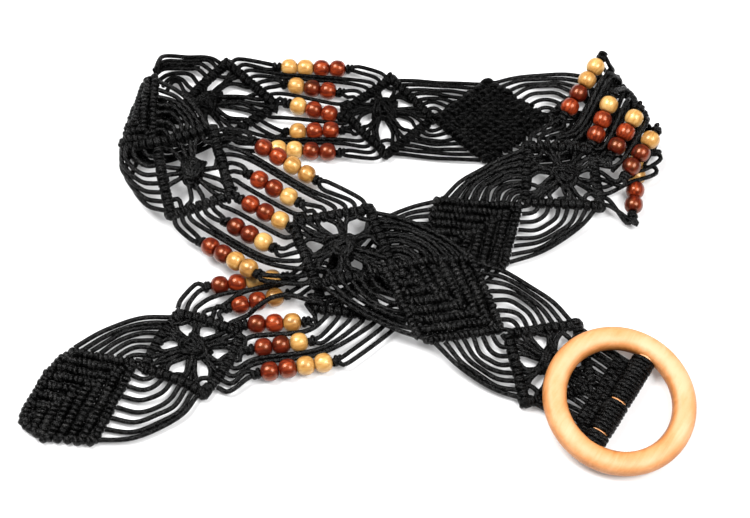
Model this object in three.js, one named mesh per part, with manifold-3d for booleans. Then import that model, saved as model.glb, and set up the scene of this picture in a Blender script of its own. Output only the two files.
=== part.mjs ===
// Knotted cord belt with wooden beads and a wooden ring buckle.
// Millimetres, +Z up. The belt lies on the floor with its front down between two folds,
// and both ends are folded over the top of it, so that they show their front and cross.
//
// Every cord piece is drawn first in a flat pattern: u runs along the belt from the tip to
// the buckle, v runs across it, and w is the height over the middle plane on the front side.
// place() then carries a point of the pattern to where it lies.

import * as THREE from 'three'
import { mergeVertices } from 'three/addons/utils/BufferGeometryUtils.js'
import Module from 'manifold-3d'

const wasm = await Module()
wasm.setup()

// Sizes of the flat pattern
const diamondHalfLength = 30
const diamondHalfWidth = 26
const diamondEdge = 1
const diamondThickness = 5.2
const ridgeDepth = 0.8
const diamondCells = 6
const foldedDiamondCells = 8
const latticeHalfLength = 26
const latticeHalfWidth = 25.5
const diamondToLattice = diamondHalfLength + latticeHalfLength
const latticeToBeads = 43
const latticeToBar = 42
const ribOutside = 2.8
const latticeThickness = 3.8
const bluntApex = 2.2
const flowerLength = 9
const flowerWidth = 19
const flowerThickness = 6.4
const fanSlits = [[0.46, 0.58]]
const fanSlitSpan = [0.14, 0.86]
const fanRise = 1.42
const fanTipShare = 0.94
const fanShoulderShare = 0.6
const gap = 0.3
const mergeDistance = 1e-4

// Corners (u, v) of the openings round a lattice's centre knot: the one on the buckle side and
// the one on the left. The other two mirror them.
const endHole = [[21.6, 0], [15.6, 6.4], [5.4, 2], [5.4, -2], [15.6, -6.4]]
const sideHole = [[0, 21.2], [8.2, 13.6], [2.8, 10.2], [-2.8, 10.2], [-8.2, 13.6]]

// Beads, and the cords beside and behind them
const beadDiameter = 9.3
const beadPitch = 8.6
const beadEndDiameter = 6.4
const beadFlat = 3.4
const redBeads = 2
const beadSides = 10
const rowCordSize = 3
const rowCordLead = 2
const rowPlaces = { a: 28, b: 14, c: 0, d: -14, e: -28 }
const rowRibPlaces = { a: 22.3, b: 9.6, c: 0, d: -9.6, e: -22.3 }
const longRows = 'ae'

// Ring buckle
const ringRadius = 30.8
const ringSectionWidth = 11.2
const ringSectionHeight = 9.6
const ringSides = 8
const ringSteps = 26
const barDiameter = 7.4
const loopDiameter = 12.4
const loopLength = 43
const barTurn = 56.5
const ringTilt = 6
const ringCentre = new THREE.Vector3(114.3, -78.9, 8.15)
const barCordPlaces = [-17, 0, 17]
const barCordWidth = 11
const barCordThickness = 2.6

// How the belt lies. It is described with both ends unfolded, back face up: the middle of each
// section, the direction of its v side in degrees, and its half width there.
const halfWidth = 26
const sections = [
  // name, x, y, cross, half width
  ['d1', 440, 207.5, 123, 26.5],
  ['f1', 389.5, 182, 115, 25.5],
  ['b1', 356, 160, 108, 26],
  ['f2', 310, 137, 104, 26],
  ['d2', 254.7, 114.3, 102, 26],
  ['f3', 203, 95.5, 96, 25.5],
  ['b2', 168, 89, 112, 28],
  ['f4', 120, 84, 95, 26],
  ['d3', 58, 80.5, 87, 25.5],
  ['f5', 7.1, 83.6, 87, 25],
  ['b3', -34.3, 86.9, 85, 25.5],
  ['f6', -79.8, 91.7, 90, 26.5],
  ['d4', -129, 78, 108, 26],
  ['f7', -179.4, 64.9, 84, 26.5],
  ['b4', -220.6, 62.5, 87, 28],
  ['f8', -267.1, 63.6, 93, 26],
  ['d5', -327.7, 63.8, 88, 26],
  ['f9', -382.8, 58.7, 96, 25.5],
  ['bar', -419.4, 54.2, 95.5, 26.7],
]

// The two folds: a point and direction where the bend starts, and its radius.
const foldRadius = 8.5
const rightFold = { x: 112.5, y: 115, turn: -64, side: -1 }
const leftFold = { x: -107.8, y: 112, turn: -104, side: 1 }

// Height of the middle plane over the floor: section, left (v > 0) edge, right edge.
// A point further out than an edge goes on to this share of the width.
const liftOverrun = 0.05
const tipLifts = [
  ['d1', 2.6, 2.6],
  ['f1', 3.4, 3.4],
  ['b1', 4.6, 4.6],
  ['f2', 3.4, 3.4],
  ['d2', 2.8, 2.8],
  ['f3', 10.5, 6],
  ['b2', 15, 8],
  ['f4', 20, 17],
]
const middleLifts = [
  ['f4', 3.5, 3.5],
  ['d3', 2.8, 2.8],
  ['f5', 3.5, 3.5],
  ['b3', 4.6, 4.6],
  ['f6', 3.5, 3.5],
]
const buckleLifts = [
  ['f6', 20, 19],
  ['d4', 19, 17],
  ['f7', 16, 10],
  ['b4', 13, 11.5],
  ['f8', 11, 13],
  ['d5', 8.4, 8.8],
  ['f9', 3.3, 3.3],
  ['bar', 3.8, 3.8],
]

// Where each row of beads lies: its middle, its heading and its climb in degrees.
const beadRows = [
  // name, x, y, z, heading, climb
  ['b1a', -63.4, -15.4, 4.8, 8, 0],
  ['b1b', -57.3, -25.8, 4.8, 14, 0],
  ['b1c', -48.6, -37.8, 4.8, 3, 0],
  ['b1d', -45, -49.3, 4.8, 9, 0],
  ['b1e', -37.3, -60.8, 4.8, 10, 0],
  ['b2a', 108.6, 93.8, 15.3, 56, 15],
  ['b2b', 117.2, 73, 15.6, 65, 18],
  ['b2c', 128.3, 65, 16, 56, 18],
  ['b2d', 134.9, 51.9, 16.7, 53, 14],
  ['b2e', 133.3, 41.2, 5.2, 80, 1],
  ['b3a', -33, 113.3, 4.8, 178, 0],
  ['b3b', -33.4, 100, 4.8, 170, 0],
  ['b3c', -32.2, 86.2, 4.8, 163, 0],
  ['b3d', -31.7, 73, 4.8, -177, 0],
  ['b3e', -37.4, 61.1, 4.8, 176, 0],
  ['b4a', -45.7, 49.2, 13.5, -28, -15],
  ['b4b', -50.8, 33.4, 12.8, -28, -11],
  ['b4c', -54.7, 19.8, 12.2, -29, -5],
  ['b4d', -62, 7.6, 11.5, -34, 6],
  ['b4e', -71.4, -5.3, 11.5, -37, 13.5],
]

// Lengths of the straight steps that a curved piece is divided into
const plainStep = 22
const foldStep = 9
const foldReach = 57
const rowStep = 16
const foldedRowStep = 9

const degrees = THREE.MathUtils.degToRad

// Flat pattern: u of each section, from the spacing of its neighbours
function sectionPlaces() {
  const places = { d1: 0 }
  let u = 0
  for (let i = 1; i < sections.length; i++) {
    const pair = sections[i - 1][0][0] + sections[i][0][0]
    if (sections[i][0] === 'bar') u += latticeToBar
    else u += pair.includes('d') ? diamondToLattice : latticeToBeads
    places[sections[i][0]] = u
  }
  return places
}

const places = sectionPlaces()
const foldChange = places.d3

// Smooth curve through values at given places. A level one never overshoots.
function smooth(us, values, u, level) {
  const last = us.length - 1
  let i = 0
  while (i < last - 1 && u > us[i + 1]) i++
  const step = us[i + 1] - us[i]
  const t = (u - us[i]) / step
  const slope = (k) => {
    if (k === 0 || k === last) {
      if (level) return 0
      const j = k === 0 ? 1 : last
      return (values[j] - values[j - 1]) / (us[j] - us[j - 1])
    }
    const before = us[k] - us[k - 1]
    const after = us[k + 1] - us[k]
    const rise = (values[k] - values[k - 1]) / before
    const next = (values[k + 1] - values[k]) / after
    if (!level) return (rise * after + next * before) / (before + after)
    return rise * next <= 0 ? 0 : (2 * rise * next) / (rise + next)
  }
  const m0 = slope(i) * step
  const m1 = slope(i + 1) * step
  if (t < 0) return values[i] + m0 * t
  if (t > 1) return values[i + 1] + m1 * (t - 1)
  const t2 = t * t
  const t3 = t2 * t
  return (2 * t3 - 3 * t2 + 1) * values[i] + (t3 - 2 * t2 + t) * m0 +
    (3 * t2 - 2 * t3) * values[i + 1] + (t3 - t2) * m1
}

const sectionUs = sections.map((row) => places[row[0]])
const sectionXs = sections.map((row) => row[1])
const sectionYs = sections.map((row) => row[2])
const crossXs = sections.map((row) => (Math.cos(degrees(row[3])) * row[4]) / halfWidth)
const crossYs = sections.map((row) => (Math.sin(degrees(row[3])) * row[4]) / halfWidth)

// Height of the middle plane, from one of the lift tables
function liftAt(table, u, v) {
  const us = table.map((row) => places[row[0]])
  const share = THREE.MathUtils.clamp((v / halfWidth + 1) / 2, -liftOverrun, 1 + liftOverrun)
  const left = smooth(us, table.map((row) => row[1]), u, true)
  const right = smooth(us, table.map((row) => row[2]), u, true)
  return left * share + right * (1 - share)
}

// A point of the middle plane: laid out unfolded, then carried round its fold
function middlePoint(u, v) {
  const x = smooth(sectionUs, sectionXs, u) + v * smooth(sectionUs, crossXs, u)
  const y = smooth(sectionUs, sectionYs, u) + v * smooth(sectionUs, crossYs, u)
  const tipSide = u < foldChange
  const fold = tipSide ? rightFold : leftFold
  const along = new THREE.Vector2(Math.cos(degrees(fold.turn)), Math.sin(degrees(fold.turn)))
  const inward = new THREE.Vector2(-along.y * fold.side, along.x * fold.side)
  const offset = new THREE.Vector2(x - fold.x, y - fold.y)
  const past = -offset.dot(inward)
  const bend = THREE.MathUtils.clamp(past / foldRadius, 0, Math.PI)
  const under = liftAt(middleLifts, u, v)
  const over = liftAt(tipSide ? tipLifts : buckleLifts, u, v)
  const z = under + ((over - under) * (1 - Math.cos(bend))) / 2
  if (past <= 0) return new THREE.Vector3(x, y, z)
  const back = past > Math.PI * foldRadius ? past - Math.PI * foldRadius : 0
  const inside = back - foldRadius * Math.sin(bend)
  const start = new THREE.Vector2(fold.x, fold.y).addScaledVector(along, offset.dot(along))
  start.addScaledVector(inward, inside)
  return new THREE.Vector3(start.x, start.y, z)
}

// A point of the pattern where it lies, w over the middle plane on the front side
function place(u, v, w = 0) {
  const reach = 0.5
  const alongU = middlePoint(u + reach, v).sub(middlePoint(u - reach, v))
  const alongV = middlePoint(u, v + reach).sub(middlePoint(u, v - reach))
  const front = alongU.cross(alongV).normalize()
  return middlePoint(u, v).addScaledVector(front, w)
}

// Closed solids and joining
function solidOf(geometry) {
  geometry.deleteAttribute('normal')
  geometry.deleteAttribute('uv')
  const merged = mergeVertices(geometry, mergeDistance)
  return new wasm.Manifold(new wasm.Mesh({
    numProp: 3,
    vertProperties: merged.attributes.position.array,
    triVerts: new Uint32Array(merged.index.array),
  }))
}

function geometryOf(solid) {
  const mesh = solid.getMesh()
  const geometry = new THREE.BufferGeometry()
  geometry.setAttribute('position', new THREE.BufferAttribute(mesh.vertProperties, 3))
  geometry.setIndex(new THREE.BufferAttribute(mesh.triVerts, 1))
  geometry.computeVertexNormals()
  return geometry
}

// Moves each vertex of a solid, made about its own centre, to a place in the pattern
function laid(geometry, toPattern) {
  const position = geometry.attributes.position
  for (let i = 0; i < position.count; i++) {
    const [u, v, w] = toPattern(position.getX(i), position.getY(i), position.getZ(i))
    position.setXYZ(i, ...place(u, v, w))
  }
  return solidOf(geometry)
}

function nearFold(u) {
  const rightFoldPlace = (places.b2 + places.f4) / 2
  return Math.abs(u - places.d4) < foldReach || Math.abs(u - rightFoldPlace) < foldReach
}

// A pair of cords through points in space, as one square cord
function looseCord(points, size, step) {
  const path = new THREE.CatmullRomCurve3(points)
  const half = size / 2
  const section = new THREE.Shape([
    new THREE.Vector2(-half, -half),
    new THREE.Vector2(half, -half),
    new THREE.Vector2(half, half),
    new THREE.Vector2(-half, half),
  ])
  const steps = Math.max(2, Math.ceil(path.getLength() / step))
  return solidOf(new THREE.ExtrudeGeometry(section, { steps, extrudePath: path, bevelEnabled: false }))
}

// Solid diamond: flat at the back, with chevron ridges on its front that point to the buckle
function diamond(u, grow = 0) {
  const cells = nearFold(u) ? foldedDiamondCells : diamondCells
  const length = diamondHalfLength - diamondEdge + grow
  const width = diamondHalfWidth - diamondEdge + grow
  const thickness = diamondThickness + 4 * grow
  return laid(new THREE.BoxGeometry(1, 1, thickness, cells, cells), (x, y, z) => {
    const row = Math.round((Math.max(x, -y) + 0.5) * cells)
    const valley = grow === 0 && z > 0 && row % 2 === 1 ? ridgeDepth : 0
    return [u + (x - y) * length, (x + y) * width, z - valley]
  })
}

// Centre knot of a lattice
function flower(u) {
  const block = new THREE.BoxGeometry(flowerLength, flowerWidth, flowerThickness)
  return laid(block, (x, y, z) => [u + x, y, z])
}

// Upper half of a lattice's edge on one side, from its end on the middle line to its corner.
// Towards a diamond it takes in the fan of cords between the two.
function edgeOf(along, towardsDiamond) {
  if (!towardsDiamond) {
    const end = latticeHalfLength + ribOutside - bluntApex
    return [[along * end, 0], [along * end, bluntApex]]
  }
  const apex = latticeHalfLength + diamondEdge - 2 * gap
  const length = diamondHalfLength - diamondEdge
  const width = diamondHalfWidth - diamondEdge
  const high = latticeHalfWidth + ribOutside
  const points = [
    [apex, 0],
    [apex + length * fanTipShare, width * fanTipShare],
    [apex + length * fanShoulderShare, high],
    [apex, high + diamondEdge],
    [apex / 2, high + diamondEdge / 2],
  ]
  return points.map(([u, v]) => [along * u, v])
}

// Slits between the cords of one fan, nested round the point where lattice and diamond meet
function fanHoles(along, across) {
  return fanSlits.map(([inner, outer]) => {
    const at = (share, t) => {
      const u = -latticeHalfLength * (1 - t) ** 2 + diamondHalfLength * t ** 2 +
        (diamondHalfLength - latticeHalfLength) * t * (1 - t)
      const v = latticeHalfWidth * (1 - t) ** 2 + diamondHalfWidth * t ** 2 +
        2 * fanRise * diamondHalfWidth * t * (1 - t)
      return [along * (latticeHalfLength + u * share), across * v * share]
    }
    const [from, to] = fanSlitSpan
    return [at(inner, from), at(inner, 0.5), at(inner, to), at(outer, to), at(outer, 0.5), at(outer, from)]
  })
}

// Openings round the centre knot, between the ribs and the cords that gather to it
function frameHoles() {
  const holes = []
  for (const side of [-1, 1]) {
    holes.push(endHole.map(([u, v]) => [side * u, v]))
    holes.push(sideHole.map(([u, v]) => [u, side * v]))
  }
  return holes
}

// Adds points to a closed outline so that no step is longer than the given one
function divided(points, step) {
  const result = []
  points.forEach(([u, v], i) => {
    const [nextU, nextV] = points[(i + 1) % points.length]
    const parts = Math.max(1, Math.ceil(Math.hypot(nextU - u, nextV - v) / step))
    for (let k = 0; k < parts; k++) {
      result.push(new THREE.Vector2(u + ((nextU - u) * k) / parts, v + ((nextV - v) * k) / parts))
    }
  })
  return result
}

// The pierced band of one lattice with its fans
function latticeBand(u, kinds) {
  const towards = { [-1]: kinds[0] === 'd', 1: kinds[1] === 'd' }
  const rightEdge = edgeOf(1, towards[1])
  const leftEdge = edgeOf(-1, towards[-1])
  const corner = [0, latticeHalfWidth + ribOutside]
  const upper = [...rightEdge, corner, ...leftEdge.reverse()]
  const lower = upper.slice(1, -1).reverse().map(([x, y]) => [x, -y])
  const step = nearFold(u) ? foldStep : plainStep
  const shape = new THREE.Shape(divided([...upper, ...lower], step))
  const holes = frameHoles()
  for (const along of [-1, 1]) {
    if (towards[along]) holes.push(...fanHoles(along, 1), ...fanHoles(along, -1))
  }
  for (const hole of holes) shape.holes.push(new THREE.Path(divided(hole, step)))
  const band = new THREE.ExtrudeGeometry(shape, { depth: latticeThickness, bevelEnabled: false })
  return laid(band, (x, y, z) => [u + x, y, z - latticeThickness / 2])
}

// Bead rows: direction, first and last point of the string
function rowLine(name) {
  const [, x, y, z, heading, climb] = beadRows.find((row) => row[0] === name)
  const count = longRows.includes(name[2]) ? 4 : 3
  const flat = Math.cos(degrees(climb))
  const direction = new THREE.Vector3(
    Math.cos(degrees(heading)) * flat,
    Math.sin(degrees(heading)) * flat,
    Math.sin(degrees(climb)),
  )
  const halfRow = (count * beadPitch) / 2
  const start = new THREE.Vector3(x, y, z).addScaledVector(direction, -halfRow)
  const end = new THREE.Vector3(x, y, z).addScaledVector(direction, halfRow)
  return { count, direction, start, end }
}

// Point on the rib of a lattice that faces the beads, at a given v
function ribPoint(lattice, along, v) {
  const u = places[lattice] + along * latticeHalfLength * (1 - Math.abs(v) / latticeHalfWidth)
  return [u, v]
}

// Points of the bent belt between a rib and the rows beyond the fold
function roundFold(name, along, ribV, beads, rowV) {
  const [ribU] = ribPoint(name, along, ribV)
  const rowU = places[beads] - along * 2 * beadPitch
  const lean = (share) => ribV + (rowV - ribV) * share
  return [0.22, 0.46, 0.7].map((share) => place(ribU + (rowU - ribU) * share, lean(share)))
}

// Pairs of cords from a lattice to the ends of the bead rows
function rowCords(name, along, beads) {
  const step = name === 'f4' ? foldedRowStep : rowStep
  return Object.entries(rowPlaces).map(([letter, rowV]) => {
    const row = rowLine(beads + letter)
    const ribV = rowRibPlaces[letter]
    const end = along > 0 ? row.start : row.end
    end.addScaledVector(row.direction, -along * gap)
    const lead = end.clone().addScaledVector(row.direction, -along * rowCordLead)
    const points = [place(...ribPoint(name, along, ribV))]
    if (name === 'f4') points.push(...roundFold(name, along, ribV, beads, rowV))
    points.push(lead, end)
    return looseCord(points, rowCordSize, step)
  })
}

// One lattice with everything that hangs on it, kept clear of a diamond that bends
function lattice(index) {
  const name = `f${index}`
  const order = sections.findIndex((row) => row[0] === name)
  const neighbours = [sections[order - 1][0], sections[order + 1][0]]
  const u = places[name]
  let body = latticeBand(u, neighbours.map((other) => other[0])).add(flower(u))
  if (neighbours[0][0] === 'b') {
    for (const cord of rowCords(name, -1, neighbours[0])) body = body.add(cord)
  }
  if (neighbours[1][0] === 'b' && neighbours[1] !== 'bar') {
    for (const cord of rowCords(name, 1, neighbours[1])) body = body.add(cord)
  }
  if (neighbours.includes('d4')) body = body.subtract(diamond(places.d4, gap))
  return geometryOf(body)
}

// Half of a bead row: one colour, its beads held together at their ends
function beadString(count) {
  const points = [new THREE.Vector2(0, 0)]
  const edge = (beadPitch - beadFlat) / 2
  for (let i = 0; i < count; i++) {
    const start = i * beadPitch
    points.push(new THREE.Vector2(beadEndDiameter / 2, start))
    points.push(new THREE.Vector2(beadDiameter / 2, start + edge))
    points.push(new THREE.Vector2(beadDiameter / 2, start + edge + beadFlat))
  }
  const end = count * beadPitch - gap
  points.push(new THREE.Vector2(beadEndDiameter / 2, end), new THREE.Vector2(0, end))
  return new THREE.LatheGeometry(points, beadSides)
}

function placeBeads(mesh, row, first) {
  mesh.position.copy(row.start).addScaledVector(row.direction, first * beadPitch + gap / 2)
  mesh.quaternion.setFromUnitVectors(new THREE.Vector3(0, 1, 0), row.direction)
}

// Ring and bar, made about their own centre with the bar along X
function buckleRing() {
  const profile = []
  for (let i = 0; i <= ringSides; i++) {
    const angle = (i * 2 * Math.PI) / ringSides
    const radius = ringRadius + (Math.cos(angle) * ringSectionWidth) / 2
    profile.push(new THREE.Vector2(radius, (Math.sin(angle) * ringSectionHeight) / 2))
  }
  const ring = new THREE.LatheGeometry(profile, ringSteps).rotateX(Math.PI / 2)
  const bar = new THREE.CylinderGeometry(barDiameter / 2, barDiameter / 2, 2 * ringRadius, beadSides)
  return geometryOf(solidOf(ring).add(solidOf(bar.rotateZ(Math.PI / 2))))
}

// The cord loops round the bar, as one sleeve
function loopSleeve() {
  const inner = barDiameter / 2 + gap
  const outer = loopDiameter / 2
  const half = loopLength / 2
  const profile = [[inner, -half], [outer, -half], [outer, half], [inner, half], [inner, -half]]
  const sleeve = new THREE.LatheGeometry(profile.map((p) => new THREE.Vector2(...p)), ringSides)
  return sleeve.rotateZ(Math.PI / 2)
}

const ringPose = new THREE.Matrix4()
  .makeTranslation(ringCentre)
  .multiply(new THREE.Matrix4().makeRotationZ(degrees(barTurn)))
  .multiply(new THREE.Matrix4().makeRotationX(degrees(ringTilt)))

// Sleeve, and the cords that run from it to the last lattice
function barLoops() {
  let body = solidOf(loopSleeve().applyMatrix4(ringPose))
  const boreRadius = barDiameter / 2 + gap
  const bore = new THREE.CylinderGeometry(boreRadius, boreRadius, 2 * loopLength, beadSides)
  const clear = solidOf(bore.rotateZ(Math.PI / 2).applyMatrix4(ringPose))
  for (const v of barCordPlaces) {
    const [ribU] = ribPoint('f9', 1, Math.abs(v) - barCordWidth / 2)
    const start = Math.max(ribU, places.f9 + latticeHalfLength * (v === 0)) + 2 * ribOutside
    const length = places.bar - barDiameter / 2 - start
    const cord = new THREE.BoxGeometry(length, barCordWidth, barCordThickness)
    body = body.add(laid(cord, (x, y, z) => [start + length / 2 + x, v + y, z]))
  }
  return geometryOf(body.subtract(clear))
}

// Materials
function cordMaterial() {
  return new THREE.MeshStandardMaterial({ color: 0x151515, roughness: 0.8, metalness: 0 })
}

function redBeadMaterial() {
  return new THREE.MeshStandardMaterial({ color: 0x8a2c1c, roughness: 0.35, metalness: 0 })
}

function tanBeadMaterial() {
  return new THREE.MeshStandardMaterial({ color: 0xd6a55a, roughness: 0.4, metalness: 0 })
}

function ringMaterial() {
  return new THREE.MeshStandardMaterial({ color: 0xf0b878, roughness: 0.5, metalness: 0 })
}

function piece(name, geometry, material) {
  const mesh = new THREE.Mesh(geometry, material)
  mesh.name = name
  return mesh
}

const belt = new THREE.Group()

for (let i = 1; i <= 5; i++) {
  belt.add(piece(`diamond_${i}`, geometryOf(diamond(places[`d${i}`])), cordMaterial()))
}

for (let i = 1; i <= 9; i++) {
  belt.add(piece(`lattice_${i}`, lattice(i), cordMaterial()))
}

for (const [name] of beadRows) {
  const row = rowLine(name)
  const red = piece(`beads_${name.slice(1)}_red`, beadString(redBeads), redBeadMaterial())
  placeBeads(red, row, 0)
  const tan = piece(`beads_${name.slice(1)}_tan`, beadString(row.count - redBeads), tanBeadMaterial())
  placeBeads(tan, row, redBeads)
  belt.add(red, tan)
}

const ring = piece('buckle_ring', buckleRing(), ringMaterial())
ring.applyMatrix4(ringPose)
belt.add(ring)
belt.add(piece('bar_loops', barLoops(), cordMaterial()))

// The origin is on the floor, under the middle of the laid belt
const box = new THREE.Box3().setFromObject(belt, true)
const middle = box.getCenter(new THREE.Vector3())
belt.position.set(-middle.x, -middle.y, -box.min.z)

export default belt
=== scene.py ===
import math

import bpy
import numpy as np
from mathutils import Matrix, Vector


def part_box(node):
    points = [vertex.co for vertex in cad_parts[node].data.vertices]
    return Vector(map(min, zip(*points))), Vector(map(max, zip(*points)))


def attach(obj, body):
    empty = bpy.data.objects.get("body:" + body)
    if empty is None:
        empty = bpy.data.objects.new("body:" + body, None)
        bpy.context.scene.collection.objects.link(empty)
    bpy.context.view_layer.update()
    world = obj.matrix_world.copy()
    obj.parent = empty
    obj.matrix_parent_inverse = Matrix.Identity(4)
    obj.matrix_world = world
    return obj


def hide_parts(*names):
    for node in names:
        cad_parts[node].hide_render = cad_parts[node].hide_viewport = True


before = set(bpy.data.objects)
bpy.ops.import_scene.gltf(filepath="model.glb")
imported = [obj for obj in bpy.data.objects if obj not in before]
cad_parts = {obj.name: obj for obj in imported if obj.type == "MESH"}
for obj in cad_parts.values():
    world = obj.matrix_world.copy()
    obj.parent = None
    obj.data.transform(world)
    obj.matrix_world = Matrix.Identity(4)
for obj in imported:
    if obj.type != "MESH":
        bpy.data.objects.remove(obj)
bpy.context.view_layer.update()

# The belt is drawn in a flat pattern, in millimetres: u runs along it from the tip to the
# buckle, v across it, and w is the height over the middle plane on the front side.
# placed() then carries a point of the pattern to where the belt lies.
belt = {
    "diamondLength": 30, "diamondWidth": 26,        # half sizes of a solid diamond
    "latticeLength": 26, "latticeWidth": 25.5,      # half sizes of a lattice
    "latticeToBeads": 43, "latticeToBar": 42,       # from middle to middle
    "cords": 8,                                     # cords on each side of the middle line
    "cord": 2.35, "rib": 5.8, "ribHigh": 5.6,       # thicknesses
    "halfWidth": 26,                                # v at the edges of the sections below
}

# How the belt lies, unfolded, back face up: middle, direction of the v side, half width
sections = [
    # name, x, y, cross, half width
    ("d1", 440, 207.5, 123, 26.5),
    ("f1", 389.5, 182, 115, 25.5),
    ("b1", 356, 160, 108, 26),
    ("f2", 310, 137, 104, 26),
    ("d2", 254.7, 114.3, 102, 26),
    ("f3", 203, 95.5, 96, 25.5),
    ("b2", 168, 89, 112, 28),
    ("f4", 120, 84, 95, 26),
    ("d3", 58, 80.5, 87, 25.5),
    ("f5", 7.1, 83.6, 87, 25),
    ("b3", -34.3, 86.9, 85, 25.5),
    ("f6", -79.8, 91.7, 90, 26.5),
    ("d4", -129, 78, 108, 26),
    ("f7", -179.4, 64.9, 84, 26.5),
    ("b4", -220.6, 62.5, 87, 28),
    ("f8", -267.1, 63.6, 93, 26),
    ("d5", -327.7, 63.8, 88, 26),
    ("f9", -382.8, 58.7, 96, 25.5),
    ("bar", -419.4, 54.2, 95.5, 26.7),
]
foldRadius = 8.5
rightFold = {"x": 112.5, "y": 115, "turn": -64, "side": -1}
leftFold = {"x": -107.8, "y": 112, "turn": -104, "side": 1}

# Height of the middle plane over the floor: section, left (v > 0) edge, right edge
tipLifts = [
    ("d1", 2.6, 2.6), ("f1", 3.4, 3.4), ("b1", 4.6, 4.6), ("f2", 3.4, 3.4),
    ("d2", 2.8, 2.8), ("f3", 10.5, 6), ("b2", 15, 8), ("f4", 20, 17),
]
middleLifts = [
    ("f4", 3.5, 3.5), ("d3", 2.8, 2.8), ("f5", 3.5, 3.5), ("b3", 4.6, 4.6), ("f6", 3.5, 3.5),
]
buckleLifts = [
    ("f6", 20, 19), ("d4", 19, 17), ("f7", 16, 10), ("b4", 13, 11.5), ("f8", 11, 13),
    ("d5", 8.4, 8.8), ("f9", 3.3, 3.3), ("bar", 3.8, 3.8),
]
liftOverrun = 0.05  # past an edge the height goes on to this share of the width

# Where each row of beads lies: its middle, its heading and its climb in degrees
beadRows = [
    # name, x, y, z, heading, climb
    ("b1a", -63.4, -15.4, 4.8, 8, 0),
    ("b1b", -57.3, -25.8, 4.8, 14, 0),
    ("b1c", -48.6, -37.8, 4.8, 3, 0),
    ("b1d", -45, -49.3, 4.8, 9, 0),
    ("b1e", -37.3, -60.8, 4.8, 10, 0),
    ("b2a", 108.6, 93.8, 15.3, 56, 15),
    ("b2b", 117.2, 73, 15.6, 65, 18),
    ("b2c", 128.3, 65, 16, 56, 18),
    ("b2d", 134.9, 51.9, 16.7, 53, 14),
    ("b2e", 133.3, 41.2, 5.2, 80, 1),
    ("b3a", -33, 113.3, 4.8, 178, 0),
    ("b3b", -33.4, 100, 4.8, 170, 0),
    ("b3c", -32.2, 86.2, 4.8, 163, 0),
    ("b3d", -31.7, 73, 4.8, -177, 0),
    ("b3e", -37.4, 61.1, 4.8, 176, 0),
    ("b4a", -45.7, 49.2, 13.5, -28, -15),
    ("b4b", -50.8, 33.4, 12.8, -28, -11),
    ("b4c", -54.7, 19.8, 12.2, -29, -5),
    ("b4d", -62, 7.6, 11.5, -34, 6),
    ("b4e", -71.4, -5.3, 11.5, -37, 13.5),
]
bead = {
    "diameter": 9.4, "pitch": 8.6, "hole": 3, "red": 2, "squareness": 2.3, "fullness": 0.93, "gap": 0.05,
    "sides": 20, "rings": 11, "holeDepth": 0.9, "turns": 40, "tilt": 0.03,
}
longRows = "ae"

ring = {
    "centre": (114.3, -78.9, 8.15), "barTurn": 56.5, "tilt": 6,
    "radius": 30.8, "width": 11.2, "height": 9.6, "squareness": 2.35, "steps": 120, "sides": 28,
    "bar": 7.4, "barHigh": 4.6, "flare": 0.3, "flareLength": 0.28, "barSteps": 12, "barSides": 24,
    "innerRim": 1.4, "outerRim": 0.8, "barRim": 0.2,    # painted shade: how much darker the wood is there; the bar is darkened evenly
}


# The lay, the same formulas as the solids have

def sectionPlaces():
    spots, u = {"d1": 0.0}, 0.0
    for before, after in zip(sections, sections[1:]):
        pair = before[0][0] + after[0][0]
        if after[0] == "bar":
            u += belt["latticeToBar"]
        else:
            u += belt["diamondLength"] + belt["latticeLength"] if "d" in pair else belt["latticeToBeads"]
        spots[after[0]] = u
    return spots


spots = sectionPlaces()
sectionUs = np.array([spots[row[0]] for row in sections])
sectionXs = np.array([row[1] for row in sections], float)
sectionYs = np.array([row[2] for row in sections], float)
crossXs = np.array([math.cos(math.radians(row[3])) * row[4] / belt["halfWidth"] for row in sections])
crossYs = np.array([math.sin(math.radians(row[3])) * row[4] / belt["halfWidth"] for row in sections])


# Slopes of a smooth curve at its own points. A level curve never overshoots them
def slopesOf(us, values, level):
    step = np.diff(us)
    rise = np.diff(values) / step
    slopes = np.zeros(len(us))
    if level:
        same = rise[:-1] * rise[1:] > 0
        both = np.where(same, rise[:-1] + rise[1:], 1)
        slopes[1:-1] = np.where(same, 2 * rise[:-1] * rise[1:] / both, 0)
    else:
        slopes[0], slopes[-1] = rise[0], rise[-1]
        slopes[1:-1] = (rise[:-1] * step[1:] + rise[1:] * step[:-1]) / (step[:-1] + step[1:])
    return slopes


def smooth(us, values, u, level=False):
    us, values = np.asarray(us, float), np.asarray(values, float)
    slopes = slopesOf(us, values, level)
    i = np.clip(np.searchsorted(us, u) - 1, 0, len(us) - 2)
    step = us[i + 1] - us[i]
    t = (u - us[i]) / step
    m0, m1 = slopes[i] * step, slopes[i + 1] * step
    inside = ((2 * t ** 3 - 3 * t ** 2 + 1) * values[i] + (t ** 3 - 2 * t ** 2 + t) * m0
              + (3 * t ** 2 - 2 * t ** 3) * values[i + 1] + (t ** 3 - t ** 2) * m1)
    inside = np.where(t < 0, values[i] + m0 * t, inside)
    return np.where(t > 1, values[i + 1] + m1 * (t - 1), inside)


# Height of the middle plane, from one of the tables of heights
def liftAt(lifts, u, v):
    us = [spots[row[0]] for row in lifts]
    share = np.clip((v / belt["halfWidth"] + 1) / 2, -liftOverrun, 1 + liftOverrun)
    left = smooth(us, [row[1] for row in lifts], u, True)
    right = smooth(us, [row[2] for row in lifts], u, True)
    return left * share + right * (1 - share)


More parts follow.
